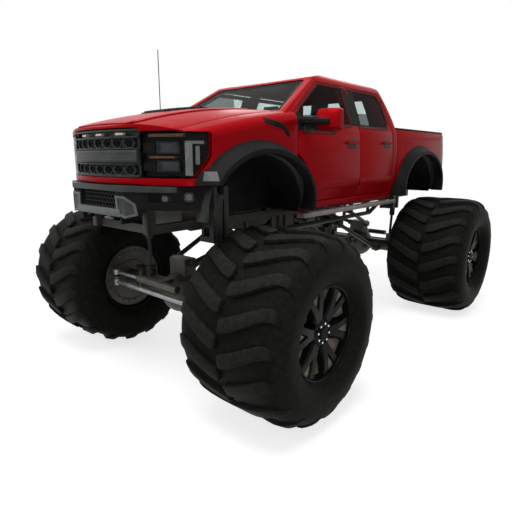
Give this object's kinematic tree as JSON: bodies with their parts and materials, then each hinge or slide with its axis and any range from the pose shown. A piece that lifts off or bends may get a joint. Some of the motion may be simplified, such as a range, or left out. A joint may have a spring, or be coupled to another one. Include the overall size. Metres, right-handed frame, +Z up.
{
  "type": "off-road pickup truck",
  "caption": "Crew-cab off-road pickup body lifted on a tube frame, with solid steered axles and very large chevron-lug flotation tyres.",
  "frame": {"origin": "on the ground under the middle of the truck's length and width", "axes": "+X forward, +Y to the driver's left, +Z up"},
  "size_m": [5.78, 3.894, 3.509],
  "materials": {
    "body_paint": "gloss red body paint",
    "dark_plastic": "satin black moulded plastic",
    "grille_plastic": "dark moulded plastic",
    "lamp_cover": "smoked lamp cover",
    "tail_lamp": "red lamp lens",
    "window_glass": "tinted glass",
    "bumper_steel": "dark grey powder coat",
    "frame_steel": "black painted tube",
    "axle_iron": "dark cast housing",
    "rod_steel": "worn steel",
    "rim_paint": "gloss black",
    "tyre_rubber": "black rubber",
    "seat_cover": "dark seat cover",
    "bed_coat": "textured bed coating",
    "board_coat": "brownish dark coat"
  },
  "bodies": {
    "chassis": {"antenna": "dark_plastic", "arch_liners": "dark_plastic", "bed_sides": "body_paint", "bed_tub": "bed_coat", "cab_back": "body_paint", "cab_floor": "dark_plastic", "cab_glass": "window_glass", "cab_sides": "body_paint", "cowl_wall": "dark_plastic", "dashboard": "dark_plastic", "driveline": "axle_iron", "engine": "axle_iron", "frame": "frame_steel", "front_axle": "axle_iron", "front_bumper": "bumper_steel", "front_carrier": "dark_plastic", "front_fenders": "body_paint", "front_valance": "body_paint", "grille": "grille_plastic", "headlamps": "lamp_cover", "rear_axle": "axle_iron", "rear_bumper": "bumper_steel", "roof_panel": "body_paint", "running_boards": "board_coat", "seats": "seat_cover", "shock_absorbers": "rod_steel", "suspension_links": "frame_steel", "tail_lamps": "tail_lamp", "wheel_flares": "dark_plastic"},
    "hood": {"hood": "body_paint"},
    "tailgate": {"tailgate": "body_paint"},
    "front_door_left": {"front_door_left": "body_paint", "front_door_glass_left": "window_glass", "mirror_left": "body_paint"},
    "rear_door_left": {"rear_door_left": "body_paint", "rear_door_glass_left": "window_glass"},
    "front_door_right": {"front_door_right": "body_paint", "front_door_glass_right": "window_glass", "mirror_right": "body_paint"},
    "rear_door_right": {"rear_door_right": "body_paint", "rear_door_glass_right": "window_glass"},
    "front_knuckle_left": {"front_knuckle_left": "axle_iron"},
    "front_wheel_left": {"front_rim_left": "rim_paint", "front_tyre_left": "tyre_rubber"},
    "front_knuckle_right": {"front_knuckle_right": "axle_iron"},
    "front_wheel_right": {"front_rim_right": "rim_paint", "front_tyre_right": "tyre_rubber"},
    "front_tie_rod": {"front_tie_rod": "rod_steel"},
    "front_ram_rod": {"front_ram_rod": "rod_steel"},
    "rear_knuckle_left": {"rear_knuckle_left": "axle_iron"},
    "rear_wheel_left": {"rear_rim_left": "rim_paint", "rear_tyre_left": "tyre_rubber"},
    "rear_knuckle_right": {"rear_knuckle_right": "axle_iron"},
    "rear_wheel_right": {"rear_rim_right": "rim_paint", "rear_tyre_right": "tyre_rubber"},
    "rear_tie_rod": {"rear_tie_rod": "rod_steel"},
    "rear_ram_rod": {"rear_ram_rod": "rod_steel"}
  },
  "joints": [
    {"name": "hood_open", "type": "hinge", "parent": "chassis", "child": "hood", "pos_m": [1.462, 0, 2.676], "axis": [0, -1, 0], "range_deg": [0, 50]},
    {"name": "tailgate_open", "type": "hinge", "parent": "chassis", "child": "tailgate", "pos_m": [-2.7575, 0, 2.045], "axis": [0, -1, 0], "range_deg": [0, 90]},
    {"name": "front_door_left_open", "type": "hinge", "parent": "chassis", "child": "front_door_left", "pos_m": [1.241, 1.003, 2.323], "axis": [0, 0, -1], "range_deg": [0, 65]},
    {"name": "rear_door_left_open", "type": "hinge", "parent": "chassis", "child": "rear_door_left", "pos_m": [-0.02, 1.014, 2.03], "axis": [0, 0, -1], "range_deg": [0, 65]},
    {"name": "front_door_right_open", "type": "hinge", "parent": "chassis", "child": "front_door_right", "pos_m": [1.241, -1.003, 2.323], "axis": [0, 0, 1], "range_deg": [0, 65]},
    {"name": "rear_door_right_open", "type": "hinge", "parent": "chassis", "child": "rear_door_right", "pos_m": [-0.02, -1.014, 2.03], "axis": [0, 0, 1], "range_deg": [0, 65]},
    {"name": "front_steer_left", "type": "hinge", "parent": "chassis", "child": "front_knuckle_left", "pos_m": [1.955, 0.77, 0.838], "axis": [0, 0, 1], "range_deg": [-25, 25]},
    {"name": "front_wheel_left_spin", "type": "hinge", "parent": "front_knuckle_left", "child": "front_wheel_left", "pos_m": [1.955, 1.392, 0.838], "axis": [0, 1, 0], "continuous": true},
    {"name": "front_steer_right", "type": "hinge", "parent": "chassis", "child": "front_knuckle_right", "pos_m": [1.955, -0.77, 0.838], "axis": [0, 0, 1], "range_deg": [-25, 25]},
    {"name": "front_wheel_right_spin", "type": "hinge", "parent": "front_knuckle_right", "child": "front_wheel_right", "pos_m": [1.955, -1.392, 0.838], "axis": [0, 1, 0], "continuous": true},
    {"name": "front_tie_rod_pivot", "type": "hinge", "parent": "front_knuckle_left", "child": "front_tie_rod", "pos_m": [2.285, 0.77, 0.867], "axis": [0, 0, 1], "range_deg": [-25, 25]},
    {"name": "front_ram_rod_slide", "type": "slide", "parent": "chassis", "child": "front_ram_rod", "axis": [0, 1, 0], "range_m": [-0.145, 0.145]},
    {"name": "rear_steer_left", "type": "hinge", "parent": "chassis", "child": "rear_knuckle_left", "pos_m": [-1.955, 0.77, 0.838], "axis": [0, 0, -1], "range_deg": [-25, 25]},
    {"name": "rear_wheel_left_spin", "type": "hinge", "parent": "rear_knuckle_left", "child": "rear_wheel_left", "pos_m": [-1.955, 1.392, 0.838], "axis": [0, 1, 0], "continuous": true},
    {"name": "rear_steer_right", "type": "hinge", "parent": "chassis", "child": "rear_knuckle_right", "pos_m": [-1.955, -0.77, 0.838], "axis": [0, 0, -1], "range_deg": [-25, 25]},
    {"name": "rear_wheel_right_spin", "type": "hinge", "parent": "rear_knuckle_right", "child": "rear_wheel_right", "pos_m": [-1.955, -1.392, 0.838], "axis": [0, 1, 0], "continuous": true},
    {"name": "rear_tie_rod_pivot", "type": "hinge", "parent": "rear_knuckle_left", "child": "rear_tie_rod", "pos_m": [-2.285, 0.77, 0.867], "axis": [0, 0, -1], "range_deg": [-25, 25]},
    {"name": "rear_ram_rod_slide", "type": "slide", "parent": "chassis", "child": "rear_ram_rod", "axis": [0, 1, 0], "range_m": [-0.145, 0.145]}
  ],
  "couplings": [
    {"joint": "front_steer_right", "follows": "front_steer_left", "ratio": 1},
    {"joint": "front_tie_rod_pivot", "follows": "front_steer_left", "ratio": -1},
    {"joint": "front_ram_rod_slide", "follows": "front_steer_left", "m_per_rad": 0.3197},
    {"joint": "rear_steer_right", "follows": "rear_steer_left", "ratio": 1},
    {"joint": "rear_tie_rod_pivot", "follows": "rear_steer_left", "ratio": -1},
    {"joint": "rear_ram_rod_slide", "follows": "rear_steer_left", "m_per_rad": 0.3197}
  ]
}
